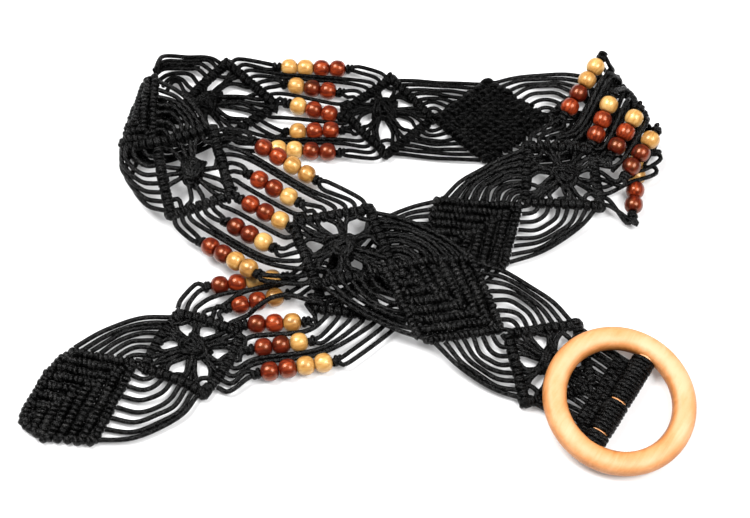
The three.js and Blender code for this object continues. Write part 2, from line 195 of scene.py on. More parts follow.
# Carries what lies past a fold's line round the bend and back over the top
def folded(x, y, fold, under, over):
    turn = math.radians(fold["turn"])
    along = np.array([math.cos(turn), math.sin(turn)])
    inward = np.array([-along[1] * fold["side"], along[0] * fold["side"]])
    offset = np.stack([x - fold["x"], y - fold["y"]], -1)
    past = -offset @ inward
    bend = np.clip(past / foldRadius, 0, math.pi)
    back = np.maximum(past - math.pi * foldRadius, 0)
    inside = back - foldRadius * np.sin(bend)
    start = np.array([fold["x"], fold["y"]]) + np.outer(offset @ along, along) + np.outer(inside, inward)
    flat = past <= 0
    z = under + (over - under) * (1 - np.cos(bend)) / 2
    return np.stack([np.where(flat, x, start[:, 0]), np.where(flat, y, start[:, 1]), z], -1)


def middlePlane(u, v):
    x = smooth(sectionUs, sectionXs, u) + v * smooth(sectionUs, crossXs, u)
    y = smooth(sectionUs, sectionYs, u) + v * smooth(sectionUs, crossYs, u)
    under = liftAt(middleLifts, u, v)
    tip = folded(x, y, rightFold, under, liftAt(tipLifts, u, v))
    buckle = folded(x, y, leftFold, under, liftAt(buckleLifts, u, v))
    return np.where((u < spots["d3"])[:, None], tip, buckle)


# Places and front directions of points (u, v, w)
def placed(points):
    points = np.asarray(points, float).reshape(-1, 3)
    u, v, w = points.T
    reach = 0.5
    alongU = middlePlane(u + reach, v) - middlePlane(u - reach, v)
    alongV = middlePlane(u, v + reach) - middlePlane(u, v - reach)
    front = np.cross(alongU, alongV)
    front /= np.linalg.norm(front, axis=1)[:, None]
    return middlePlane(u, v) + front * w[:, None], front


# The lay's own origin, found from the ring, which lies point-symmetric round its centre
ringLow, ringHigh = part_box("buckle_ring")
layShift = np.array((ringLow + ringHigh) / 2) * 1000 - np.array(ring["centre"])


# Paths: every cord and every rib is a chain of points, kept until its piece is made

pathStep, shortStep = 1.5, 1.0  # between the points of a path, and of a very short one
pullReach = 9  # how far round it a pulled corner takes the cords along
seeds = {"diamond": 100, "lattice": 200, "bead": 300, "wraps": 400, "bar": 401}


def newWork(seed, pulls=()):
    return {"points": [], "fronts": [], "edges": [], "rib": [], "phase": [],
            "random": np.random.default_rng(seed), "pulls": pulls}


# Catmull-Rom curve through the points, in short steps
def curveThrough(points, step):
    p = np.asarray(points, float)
    p = np.vstack([2 * p[0] - p[1], p, 2 * p[-1] - p[-2]])
    result = []
    for a, b, c, d in zip(p, p[1:], p[2:], p[3:]):
        n = max(2, int(np.linalg.norm(c - b) / step) + 1)
        t = (np.arange(n) / n)[:, None]
        result.append(0.5 * (2 * b + (c - a) * t + (2 * a - 5 * b + 4 * c - d) * t ** 2
                             + (3 * b - a - 3 * c + d) * t ** 3))
    return np.vstack(result + [p[-2][None]])


def addPath(work, points, fronts, isRib):
    first = sum(len(p) for p in work["points"])
    count = len(points)
    work["points"].append(points)
    work["fronts"].append(fronts)
    work["rib"].append(np.full(count, isRib))
    work["phase"].append(np.full(count, work["random"].random()))
    work["edges"].append(np.stack([np.arange(count - 1), np.arange(1, count)], -1) + first)


# A cord or rib through points of the pattern
def addCord(work, points, isRib=False, loose=0.0):
    p = np.asarray(points, float)
    if loose:
        p[1:-1] += work["random"].normal(0, loose, p[1:-1].shape)
    p = curveThrough(p, pathStep)
    for corner, pull in work["pulls"]:
        near = np.exp(-((p[:, :2] - corner) ** 2).sum(-1) / (2 * pullReach ** 2))
        p[:, :2] += near[:, None] * pull
    addPath(work, *placed(p), isRib)


# A cord or a knot through points in space
def addSpaceCord(work, points, isRib=False, step=pathStep):
    p = curveThrough(points, step)
    addPath(work, p, np.tile([0.0, 0.0, 1.0], (len(p), 1)), isRib)


def newObject(name, data):
    made = bpy.data.objects.new(name, data)
    bpy.context.scene.collection.objects.link(made)
    return made


def newMesh(name, points, faces=()):
    mesh = bpy.data.meshes.new(name)
    mesh.from_pydata(points, [], faces)
    return mesh


# Values for each point of a mesh, as numbers or as vectors
def addAttribute(mesh, name, kind, values):
    made = mesh.attributes.new(name, kind, "POINT")
    made.data.foreach_set("vector" if kind == "FLOAT_VECTOR" else "value", np.asarray(values).ravel())


def workMesh(name, work):
    mesh = bpy.data.meshes.new(name)
    points = (np.vstack(work["points"]) + layShift) / 1000
    mesh.vertices.add(len(points))
    mesh.vertices.foreach_set("co", points.astype(np.float32).ravel())
    edges = np.vstack(work["edges"])
    mesh.edges.add(len(edges))
    mesh.edges.foreach_set("vertices", edges.astype(np.int32).ravel())
    addAttribute(mesh, "front", "FLOAT_VECTOR", np.vstack(work["fronts"]).astype(np.float32))
    addAttribute(mesh, "rib", "BOOLEAN", np.concatenate(work["rib"]).astype(bool))
    addAttribute(mesh, "phase", "FLOAT", np.concatenate(work["phase"]).astype(np.float32))
    mesh.update()
    return mesh


# Node helpers for the trees and the materials

def newTree(name, sockets):
    tree = bpy.data.node_groups.new(name, "GeometryNodeTree")
    tree.is_modifier = True
    tree.interface.new_socket("Geometry", in_out="OUTPUT", socket_type="NodeSocketGeometry")
    tree.interface.new_socket("Geometry", in_out="INPUT", socket_type="NodeSocketGeometry")
    for label, kind in sockets:
        tree.interface.new_socket(label, in_out="INPUT", socket_type="NodeSocket" + kind)
    return tree, tree.nodes.new("NodeGroupInput").outputs, tree.nodes.new("NodeGroupOutput")


# Gives a node's inputs their values or links
def fill(tree, node, inputs):
    for name, value in inputs.items():
        if isinstance(value, bpy.types.NodeSocket):
            tree.links.new(value, node.inputs[name])
        else:
            node.inputs[name].default_value = value


def put(tree, kind, inputs=None, **settings):
    made = tree.nodes.new(kind)
    for name, value in settings.items():
        setattr(made, name, value)
    fill(tree, made, inputs or {})
    return made


def sums(tree, operation, *values):
    return put(tree, "ShaderNodeMath", dict(enumerate(values)), operation=operation).outputs[0]


# The values times their weights, added up
def weighted(tree, *pairs):
    total = None
    for value, weight in pairs:
        part = sums(tree, "MULTIPLY", value, weight)
        total = part if total is None else sums(tree, "ADD", total, part)
    return total


def vectors(tree, operation, *values):
    inputs = dict(enumerate(values))
    if operation == "SCALE":
        inputs["Scale"] = inputs.pop(1)
    return put(tree, "ShaderNodeVectorMath", inputs, operation=operation).outputs[0]


def noise(tree, place, scale, detail, distortion=0.0):
    return put(tree, "ShaderNodeTexNoise", {"Vector": place, "Scale": scale, "Detail": detail,
                                            "Distortion": distortion}).outputs[0]


def named(tree, name, kind):
    made = put(tree, "GeometryNodeInputNamedAttribute", {"Name": name}, data_type=kind)
    return made.outputs["Attribute"]


def stored(tree, geometry, name, value, kind):
    made = put(tree, "GeometryNodeStoreNamedAttribute",
               {"Geometry": geometry, "Name": name, "Value": value}, data_type=kind, domain="POINT")
    return made.outputs[0]


# Smooth, with its material, and no instances left
def painted(tree, geometry, material):
    real = put(tree, "GeometryNodeRealizeInstances", {"Geometry": geometry})
    smoothed = put(tree, "GeometryNodeSetShadeSmooth", {"Geometry": real.outputs[0]})
    parts = {"Geometry": smoothed.outputs[0], "Material": material}
    return put(tree, "GeometryNodeSetMaterial", parts).outputs[0]


# A round cord along the curve, with what its material needs: how far along and which way round
def tube(tree, curve, radius, sides):
    length = put(tree, "GeometryNodeSplineParameter").outputs["Length"]
    rail = stored(tree, curve, "alongCord", length, "FLOAT")
    circle = put(tree, "GeometryNodeCurvePrimitiveCircle", {"Resolution": sides, "Radius": radius})
    direction = vectors(tree, "NORMALIZE", put(tree, "GeometryNodeInputPosition").outputs[0])
    profile = stored(tree, circle.outputs[0], "roundCord", direction, "FLOAT_VECTOR")
    parts = {"Curve": rail, "Profile Curve": profile, "Fill Caps": True}
    return put(tree, "GeometryNodeCurveToMesh", parts).outputs[0]


def curveOf(tree, mesh, isRib, length):
    parted = put(tree, "GeometryNodeSeparateGeometry",
                 {"Geometry": mesh, "Selection": named(tree, "rib", "BOOLEAN")}, domain="POINT")
    curve = put(tree, "GeometryNodeMeshToCurve", {"Mesh": parted.outputs[0 if isRib else 1]}).outputs[0]
    even = put(tree, "GeometryNodeResampleCurve", {"Curve": curve, "Length": length}, mode="LENGTH")
    return even.outputs[0]


knotInputs = [(name, "Float") for name in ("Pitch", "Across", "High", "Cord radius", "Core radius", "Slant",
                                           "Pairing", "Unevenness", "Cord step")]
knotInputs.append(("Material", "Material"))
stepsPerWrap = 13
cordSides = {"wrap": 7, "core": 6, "strand": 8}
unevenScale = 420  # of the noise that makes the turns of a rib differ


# Cords as tubes, and ribs as cords wrapped round a hidden one
def knotTree():
    tree, given, result = newTree("knotWork", knotInputs)
    pitch, radius = given["Pitch"], given["Cord radius"]
    rib = curveOf(tree, given["Geometry"], True, sums(tree, "DIVIDE", pitch, stepsPerWrap))
    length = put(tree, "GeometryNodeSplineParameter").outputs["Length"]
    turns = sums(tree, "ADD", sums(tree, "DIVIDE", length, pitch), named(tree, "phase", "FLOAT"))
    angle = sums(tree, "MULTIPLY", turns, 2 * math.pi)
    place = put(tree, "GeometryNodeInputPosition").outputs[0]
    uneven = sums(tree, "SUBTRACT", noise(tree, place, unevenScale, 1), 0.5)
    swell = sums(tree, "ADD", 1.0, sums(tree, "MULTIPLY", uneven, given["Unevenness"]))
    tangent = put(tree, "GeometryNodeInputTangent").outputs[0]
    front = named(tree, "front", "FLOAT_VECTOR")
    side = vectors(tree, "NORMALIZE", vectors(tree, "CROSS_PRODUCT", front, tangent))
    cosine, sine = sums(tree, "COSINE", angle), sums(tree, "SINE", angle)
    across = sums(tree, "MULTIPLY", sums(tree, "MULTIPLY", cosine, given["Across"]), swell)
    high = sums(tree, "MULTIPLY", sums(tree, "MULTIPLY", sine, given["High"]), swell)
    everyOther = sums(tree, "SINE", sums(tree, "MULTIPLY", turns, math.pi))
    along = weighted(tree, (cosine, given["Slant"]), (everyOther, given["Pairing"]))
    offset = vectors(tree, "ADD", vectors(tree, "SCALE", side, across), vectors(tree, "SCALE", front, high))
    offset = vectors(tree, "ADD", offset, vectors(tree, "SCALE", tangent, along))
    wrap = put(tree, "GeometryNodeSetPosition", {"Geometry": rib, "Offset": offset}).outputs[0]
    core = curveOf(tree, given["Geometry"], True, given["Cord step"])
    strand = curveOf(tree, given["Geometry"], False, given["Cord step"])
    joined = put(tree, "GeometryNodeJoinGeometry")
    lines = [("wrap", wrap, radius), ("core", core, given["Core radius"]), ("strand", strand, radius)]
    for name, line, thickness in lines:
        tree.links.new(tube(tree, line, thickness, cordSides[name]), joined.inputs[0])
    tree.links.new(painted(tree, joined.outputs[0], given["Material"]), result.inputs[0])
    return tree


# Runs a tree on a mesh and keeps the result as a plain object
def plainMesh(name, mesh, tree, values):
    source = newObject(name + "Source", mesh)
    modifier = source.modifiers.new("nodes", "NODES")
    modifier.node_group = tree
    for item in tree.interface.items_tree:
        if item.in_out == "INPUT" and item.name in values:
            modifier[item.identifier] = values[item.name]
    bpy.context.view_layer.update()
    evaluated = source.evaluated_get(bpy.context.evaluated_depsgraph_get())
    made = newObject(name, bpy.data.meshes.new_from_object(evaluated))
    made.data.name = name
    bpy.data.objects.remove(source)
    return made


def finishPiece(piece, slot, *nodes):
    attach(piece, "root")
    if nodes:
        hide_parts(*nodes)


# Materials

def newMaterial(name):
    material = bpy.data.materials.new(name)
    material.use_nodes = True
    tree = material.node_tree
    shader = next(n for n in tree.nodes if n.type == "BSDF_PRINCIPLED")
    return material, tree, shader


def attribute(tree, name, output):
    return put(tree, "ShaderNodeAttribute", attribute_name=name).outputs[output]


def ramp(tree, value, *stops):
    made = put(tree, "ShaderNodeValToRGB", {"Fac": value})
    line = made.color_ramp.elements
    while len(line) < len(stops):
        line.new(0.5)
    for element, (position, colour) in zip(line, stops):
        element.position = position
        element.color = (*colour, 1)
    return made.outputs[0]


# Noise drawn out along the wood
def grainOf(tree, place, values, detail):
    stretched = put(tree, "ShaderNodeMapping", {"Vector": place, "Scale": values["grainScale"]}).outputs[0]
    return noise(tree, stretched, 1, detail, values["distortion"])


def bumps(tree, height, values):
    return put(tree, "ShaderNodeBump", {"Strength": values["bump"], "Distance": values["relief"],
                                        "Height": height}).outputs[0]


def between(tree, value, low, high, first=0.0, last=1.0):
    return put(tree, "ShaderNodeMapRange", {"Value": value, "From Min": first, "From Max": last,
                                            "To Min": low, "To Max": high}).outputs[0]


waxedCord = {
    "dark": (0.0006, 0.0006, 0.0006), "light": (0.03, 0.0292, 0.0285), "stops": (0.53, 0.71),
    "strandTwist": 4.2, "strands": 3, "twistHigh": 0.17,
    "fuzzScale": 1700, "patchScale": 160,
    # The twist and the patches are the cord's own tone; the specks paint glints into its colour
    "twistTone": 0.04, "patchTone": 0.3, "speckTone": 0.7,
    "bump": 0.9, "relief": 0.0005, "roughness": (0.17, 0.33), "shine": 0.1, "mostShine": 1.2,
}


# Twisted cord. Its brightness factor paints light into the colour and shine of one copy (over 1) and shade
# into another (under 1)
def waxedCordMaterial(name, paintedBrightness):
    material, tree, shader = newMaterial(name)
    turn = put(tree, "ShaderNodeSeparateXYZ", {0: attribute(tree, "roundCord", "Vector")})
    angle = sums(tree, "ARCTAN2", turn.outputs[1], turn.outputs[0])
    along = attribute(tree, "alongCord", "Fac")
    wave = sums(tree, "SINE", weighted(tree, (angle, waxedCord["strands"]),
                                       (along, 2000 * math.pi / waxedCord["strandTwist"])))
    place = put(tree, "ShaderNodeTexCoord").outputs["Object"]
    fuzz = noise(tree, place, waxedCord["fuzzScale"], 4)
    # Painted glints: fine specks of the lighter colour
    speck = noise(tree, place, waxedCord["fuzzScale"], 2)
    patch = noise(tree, place, waxedCord["patchScale"], 3)
    tone = weighted(tree, (wave, waxedCord["twistTone"]), (patch, waxedCord["patchTone"]),
                    (speck, waxedCord["speckTone"]))
    low, high = waxedCord["stops"]
    colour = ramp(tree, tone, (low, waxedCord["dark"]), (high, [c * paintedBrightness for c in waxedCord["light"]]))
    height = sums(tree, "ADD", sums(tree, "MULTIPLY", wave, waxedCord["twistHigh"]), fuzz)
    fill(tree, shader, {
        "Base Color": colour, "Normal": bumps(tree, height, waxedCord),
        "Roughness": between(tree, patch, *waxedCord["roughness"]),
        "Specular IOR Level": waxedCord["shine"] * min(waxedCord["mostShine"], paintedBrightness),
    })
    return material


beadWood = {
    "shift": (0.07, 0.031, 0.053), "grainScale": (700, 700, 160), "distortion": 0.6, "cloudScale": 180,
    "grain": 0.62, "cloud": 0.38, "tone": 0.2, "stops": (0.3, 0.5, 0.72),
    "roughness": (0.3, 0.44), "bump": 0.12, "relief": 0.0002, "coat": 0.3, "coatRoughness": 0.14,
}
beadColours = {
    "red": {"sheen": (1, 0.34, 0.12),
            "ramp": [(0.02, 0.0018, 0.0009), (0.083, 0.0055, 0.002), (0.33, 0.042, 0.01)]},
    "tan": {"sheen": (1, 0.8, 0.45),
            "ramp": [(0.22, 0.086, 0.017), (0.43, 0.21, 0.05), (0.6, 0.37, 0.125)]},
}


# Varnished wood with grain along the bead, shifted from bead to bead
def beadMaterial(name, colours):
    material, tree, shader = newMaterial(name)
    tone = attribute(tree, "beadTone", "Fac")
    moved = vectors(tree, "ADD", attribute(tree, "beadPoint", "Vector"),
                    vectors(tree, "SCALE", beadWood["shift"], tone))
    grain = grainOf(tree, moved, beadWood, 4)
    cloud = noise(tree, moved, beadWood["cloudScale"], 2)
    value = weighted(tree, (grain, beadWood["grain"]), (cloud, beadWood["cloud"]),
                     (sums(tree, "SUBTRACT", tone, 0.5), beadWood["tone"]))
    fill(tree, shader, {
        "Base Color": ramp(tree, value, *zip(beadWood["stops"], colours["ramp"])),
        "Roughness": between(tree, grain, *beadWood["roughness"]), "Normal": bumps(tree, grain, beadWood),
        "Specular IOR Level": 1, "Specular Tint": (*colours["sheen"], 1),
        "Coat Weight": beadWood["coat"], "Coat Roughness": beadWood["coatRoughness"],
    })
    return material


ringWood = {
    "grainScale": (34, 300, 300), "distortion": 1.2, "cloudScale": 55, "fleckScale": 900,
    # rim darkens the wood by the painted shade of the walls
    "grain": 0.34, "cloud": 0.58, "fleck": 0.08, "rim": -0.27,
    "ramp": [(0.02, (0.17, 0.05, 0.01)), (0.22, (0.46, 0.165, 0.036)),
             (0.42, (0.6, 0.27, 0.102)), (0.6, (0.64, 0.36, 0.19))],
    "roughness": (0.42, 0.58), "bump": 0.15, "relief": 0.0003,
}


# Pale turned wood, painted darker and warmer at its inner and outer walls as painted shade
def ringMaterial():
    material, tree, shader = newMaterial("honeyWood")
    local = attribute(tree, "ringPoint", "Vector")
    grain = grainOf(tree, local, ringWood, 5)
    cloud = noise(tree, local, ringWood["cloudScale"], 2)
    fleck = noise(tree, local, ringWood["fleckScale"], 2)
    value = weighted(tree, (grain, ringWood["grain"]), (cloud, ringWood["cloud"]),
                     (fleck, ringWood["fleck"]), (attribute(tree, "ringRim", "Fac"), ringWood["rim"]))
    fill(tree, shader, {
        "Base Color": ramp(tree, value, *ringWood["ramp"]),
        "Roughness": between(tree, grain, *ringWood["roughness"]), "Normal": bumps(tree, grain, ringWood),
    })
    return material


# Three copies of one cord: plain, one painted lighter as painted light, and one painted darker as painted
# shade
cordFinish = waxedCordMaterial("waxedCord", 1)
paintedLightFinish = waxedCordMaterial("paintedLightCord", 1.6)
paintedShadeFinish = waxedCordMaterial("paintedShadeCord", 0.5)
beadFinishes = {colour: beadMaterial(colour + "Bead", colours) for colour, colours in beadColours.items()}
ringFinish = ringMaterial()
knots = knotTree()
knotValues = {
    "Pitch": 0.00188, "Across": (belt["rib"] - belt["cord"]) / 2000,
    "High": (belt["ribHigh"] - belt["cord"]) / 2000,
    "Cord radius": belt["cord"] / 2000, "Core radius": 0.0014, "Slant": 0.00035, "Pairing": 0.0004,
    "Unevenness": 0.3, "Cord step": 0.0016, "Material": cordFinish,
}


# Solid diamonds: rows of knots that point to the buckle

diamondRows = {
    "count": 8, "first": 0.42,                      # rows, and the first one's place in its step
    "rib": 4.6, "high": 5.6, "cord": 2.9,           # thicknesses
    "pointStep": 3.6, "apexGap": 1.5, "hook": 2.6,  # along a row's arm, and how far its end turns back
    "loose": 0.14, "uneven": 0.3,
    "under": -2, "underTrim": 1,                    # the plain cords that show between the rows
    "spine": (6, 4, -1),                            # the middle rib: from each end, height
}
# The tip: how far its rows' middle line lies to one side, over how much of its end that begins,
# the two corners of its blunt end, how round it is, and what its rows stop short of the rim
nose = {
    "lean": 4.8, "leanFrom": 26, "upper": (-28.9, 1.1), "lower": (-19.5, -15.1), "round": 4.2, "trim": 1.5,
}
# The rib round the tip's rim, from the diamond's middle
noseRim = [(6, 20.5), (0.5, 22.4), (-5.5, 21.9), (-10.2, 18.9), (-14.6, 16.4), (-20.8, 10.8),
           (-26.5, 5.2), (-28.9, 1.4), (-28.4, -2.8), (-24.3, -7.4), (-18.4, -13.4)]
# The ribs that close the last diamond on the side of its lattice
edgeRibs = [
    [(-38.7, -7.3, 0.6), (-33.4, -3.2, 1.6), (-28.6, 2.4, 1.8), (-21.7, 9.2, 1.8), (-12.1, 16.9, 1.6),
     (-1.5, 23.6, 1)],
    [(-33.4, -3.2, 1), (-29.6, -6.2, 1.6), (-24.2, -11.2, 1.8), (-19.2, -15.2, 1.8), (-14.7, -18.9, 1.6),
     (-10.6, -22.6, 1.2), (-6.2, -26, 0.8)],
]


# The tip's rows lean: v of a point, moved most in the middle and not at the rows' outer ends
def leaning(index, u, v):
    if index != 1:
        return v
    near = min(1, max(0, (u - spots["d1"] + belt["diamondLength"]) / nose["leanFrom"]))
    return v + near * nose["lean"] * (1 - abs(v) / belt["diamondWidth"])


ribStep = 4                                           # between the points of a straight rib
straightLoose, rimLoose, edgeLoose = 0.12, 0.1, 0.15  # how far these ribs' points stray


# A straight rib between two points of the pattern
def ribRow(work, start, end, w=0.0):
    start, end = np.array(start, float), np.array(end, float)
    n = max(3, int(np.linalg.norm(end - start) / ribStep) + 1)
    t = np.linspace(0, 1, n)[:, None]
    flat = start + (end - start) * t
    addCord(work, np.hstack([flat, np.full((n, 1), w)]), isRib=True, loose=straightLoose)


# How far a row's arm goes from the middle line to the edge, as a share of a full side
def armReach(index, shift, half):
    length, width = belt["diamondLength"], belt["diamondWidth"]
    if index > 1 or half > 0:
        return 1 - shift / (2 * length)
    (farU, farV), (nearU, nearV) = nose["upper"], nose["lower"]
    edge = (width + nearV) / -nearU
    side = (farU - nearU) / (farV - nearV)
    toEdge = 1 - shift * edge / (width + edge * length)
    toNose = (length - shift - farU - side * farV) / (length - side * width)
    return min(toEdge, toNose)


# One row of knots: up to the middle line and down again, with its ends bent along the edge
def chevron(work, index, shift, hooked, isRib=True, w=0.0, trim=0.0):
    length, width = belt["diamondLength"], belt["diamondWidth"]
    full = math.hypot(length, width)
    arm, edge = np.array([-length, width]) / full, np.array([-length, -width]) / full
    apex = np.array([spots[f"d{index}"] + length - shift, 0])
    halves = []
    for half in (1, -1):
        mirror = np.array([1, half])
        reach = armReach(index, shift, half) * full - trim
        if index == 1 and half > 0:
            reach += nose["round"] * math.sin(math.pi * min(1, shift / (2 * length)))
        along = np.arange(diamondRows["apexGap"], reach - 1, diamondRows["pointStep"])
        points = [apex + arm * mirror * d for d in along]
        if reach > 1:
            points.append(apex + arm * mirror * reach)
            if half in hooked:
                back = arm * 0.5 + edge  # along the edge, and still a little outwards
                points.append(points[-1] + back * mirror * diamondRows["hook"])
        halves.append(points)
    flat = halves[0][::-1] + [apex] + halves[1]
    if len(flat) > 2:
        rise = w + diamondRows["uneven"] * work["random"].normal(0, 1, len(flat))
        chain = [(u, leaning(index, u, v), high) for (u, v), high in zip(flat, rise)]
        addCord(work, chain, isRib, loose=diamondRows["loose"])


def diamond(index):
    work = newWork(seeds["diamond"] + index)
    centre = spots[f"d{index}"]
    length = belt["diamondLength"]
    step = 2 * length / diamondRows["count"]
    hooked, trim = ((-1,), nose["trim"]) if index == 1 else ((1, -1), 0)
    for k in range(diamondRows["count"]):
        shift = step * (k + diamondRows["first"])
        chevron(work, index, shift, hooked, trim=trim)
        chevron(work, index, shift + step / 2, (), False, diamondRows["under"], diamondRows["underTrim"])
    if index == 1:
        addCord(work, [(centre + u, v, 0) for u, v in noseRim], isRib=True, loose=rimLoose)
    fromStart, fromEnd, high = diamondRows["spine"]
    first, last = centre + length - fromStart, centre - length + fromEnd
    ribRow(work, (first, leaning(index, first, 0)), (last, leaning(index, last, 0)), high)
    if index == 3:
        backDashes(work, centre)
    if index == 5:
        for side in edgeRibs:
            addCord(work, [(centre + u, v, w) for u, v, w in side], isRib=True, loose=edgeLoose)
    return work


dashes = {
    "rows": 10, "step": 3.6, "start": 0.6, "length": 5.1, "high": 2.7, "uneven": 0.7,
    "strayU": 0.35, "strayV": 0.25, "lean": 0.45,
    "shoulder": 0.55, "dip": 2.4,                   # a stitch bends there, and its ends go in as deep
}


# The back of a diamond: short stitches along the belt
def backDashes(work, centre):
    length, width = belt["diamondLength"], belt["diamondWidth"]
    side, random = math.hypot(length, width), work["random"]
    reachU, shoulder = dashes["length"] / 2, dashes["shoulder"]
    stitch = [(-1, -1, 1), (-shoulder, -0.5, 0), (shoulder, 0.5, 0), (1, 1, 1)]
    for row in range(dashes["rows"]):
        shift = 2 * length * (row + 0.5) / dashes["rows"]
        for half in (1, -1):
            for d in np.arange(dashes["start"], (1 - shift / (2 * length)) * side, dashes["step"]):
                t = d / side
                u = centre + length - shift - length * t + random.normal(0, dashes["strayU"])
                v = half * width * t + random.normal(0, dashes["strayV"])
                lean = random.normal(0, dashes["lean"])
                high = -dashes["high"] - random.random() * dashes["uneven"]
                chain = [(u + reachU * a, v + lean * b, high + dashes["dip"] * c) for a, b, c in stitch]
                addCord(work, chain)


# Lattices: four ribs, the cords that gather to the knot between them, and the fans outside

quarters = [(1, 1), (1, -1), (-1, 1), (-1, -1)]  # end and half


# How far along its rib cord k leaves it, from the corner
def shareOf(k):
    return (k + 0.5) / belt["cords"]


# The place of that: u and v from the lattice's middle
def ribPlace(k, half, along):
    share = shareOf(k)
    return np.array([along * belt["latticeLength"] * share, half * belt["latticeWidth"] * (1 - share)])


# Where a lattice's ribs meet: short of its end, apart, past its middle, out from its corner, heights
ribEnds = {"short": 0.6, "apart": 0.4, "past": 1.2, "out": 0.5, "high": 0.35}


def latticeRibs(work, u):
    for along, half in quarters:
        apex = (u + along * (belt["latticeLength"] - ribEnds["short"]), half * ribEnds["apart"])
        corner = (u - along * ribEnds["past"], half * (belt["latticeWidth"] + ribEnds["out"]))
        ribRow(work, apex, corner, w=ribEnds["high"] * along * half)


# Each quarter's cords gather in bundles before the knot
bundles = [
    # cords, waist (u, v), entry to the knot (u, v)
    ((1, 2, 3, 4), (6.2, 11.6), (2.7, 5.2)),
    ((5, 6, 7), (13.6, 2.2), (5.7, 1.5)),
]
# The lattice past the left fold is looser: its bundles by end and half
looseBundles = {
    (-1, 1): [((2, 3), (7, 12), (2.6, 5)), ((5,), (13.5, 8), (4.6, 3)), ((7,), (18.5, 2.6), (6, 1.2))],
    (-1, -1): [((2,), (8.5, 13.6), (3.5, 4.6)), ((3,), (11, 10.6), (4.4, 3.4)),
               ((5,), (15, 6), (5.2, 2.2))],
    (1, -1): [((2,), (7, 12), (2, 5.2)), ((4,), (11.5, 8), (3.8, 3.8)), ((6, 7), (17, 2.6), (5.8, 1.6))],
    (1, 1): [((3, 4), (11.5, 9), (4.2, 3.8)), ((6,), (16, 3.6), (5.4, 2))],
}
# The distance of neighbours, its share that is left at the knot, how far a cord runs square to
# its rib, how much neighbours differ in height, and how far the points stray
bundle = {"spacing": 1.5, "squeeze": 0.45, "leave": 2.6, "high": 1.0, "loose": 0.45}
knotShifts = {"f6": (8.5, 1), "f5": (2.5, 4)}  # knots that are pulled out of the lattice's middle


# Cords from the ribs to the centre knot, drawn together in bundles
def gatheredCords(work, name):
    u, shift = spots[name], np.array(knotShifts.get(name, (0, 0)))
    inward = np.array([-belt["latticeWidth"], -belt["latticeLength"]])
    inward = inward / np.linalg.norm(inward)
    for along, half in quarters:
        for cords, waist, entry in looseBundles[along, half] if name == "f7" else bundles:
            waist, entry = np.array(waist), np.array(entry)
            across = np.array([-(waist - entry)[1], (waist - entry)[0]])
            across = across / np.linalg.norm(across)
            for i, k in enumerate(cords):
                rib = ribPlace(k, 1, 1)
                aside = across * ((len(cords) - 1) / 2 - i) * bundle["spacing"]
                high = bundle["high"] * (1 if (k + (along > 0)) % 2 else -1)
                flat = [rib + 0.3, rib + inward * bundle["leave"], waist + aside,
                        entry + aside * bundle["squeeze"], entry * 0.15]
                rises = [0, 0.2, high * 0.5, high, high]
                moved = [0, 0.1, 0.65, 1, 1]  # share of the knot's shift that each point takes
                chain = [(u + a * along + shift[0] * m, b * half + shift[1] * m, w)
                         for (a, b), w, m in zip(flat, rises, moved)]
                addCord(work, chain, loose=bundle["loose"])


# Between which v the loop inside a corner turns, and the eyelet on the corner
bypass = {"lowest": (15.2, 19), "loose": 0.35, "eyeletLoose": 0.3,
          "eyelet": [(-3.4, 23.4, 0.4), (-2.6, 25.6, 0), (0, 26.8, -0.2), (2.6, 25.6, 0), (3.4, 23.4, 0.4)]}


# The outermost cords loop past the corner, inside it and as an eyelet on it
def bypassLoops(work, u):
    for half in (1, -1):
        low = work["random"].uniform(*bypass["lowest"])
        inner = [(-5.4, 20.8, 0), (-3.6, low + 1.4, 0.8), (0, low, 1.1), (3.6, low + 1.4, 0.8),
                 (5.4, 20.8, 0)]
        for loop, loose in ((inner, bypass["loose"]), (bypass["eyelet"], bypass["eyeletLoose"])):
            addCord(work, [(u + a, half * b, c) for a, b, c in loop], loose=loose)


backUp = ("f5", "f6")  # the lattices that lie face down
centreKnot = {
    "bars": 4, "spacing": 1.6, "first": (-5.2, 1.9), "reach": 5.9, "high": 3.3, "drop": 0.25,
    "loops": 2, "loopOut": 5.6, "loopStep": 1.9, "loopHigh": 1.2, "loopRise": 1.5,
    "underside": 0.55, "turn": 0.5, "loose": 0.45,
}


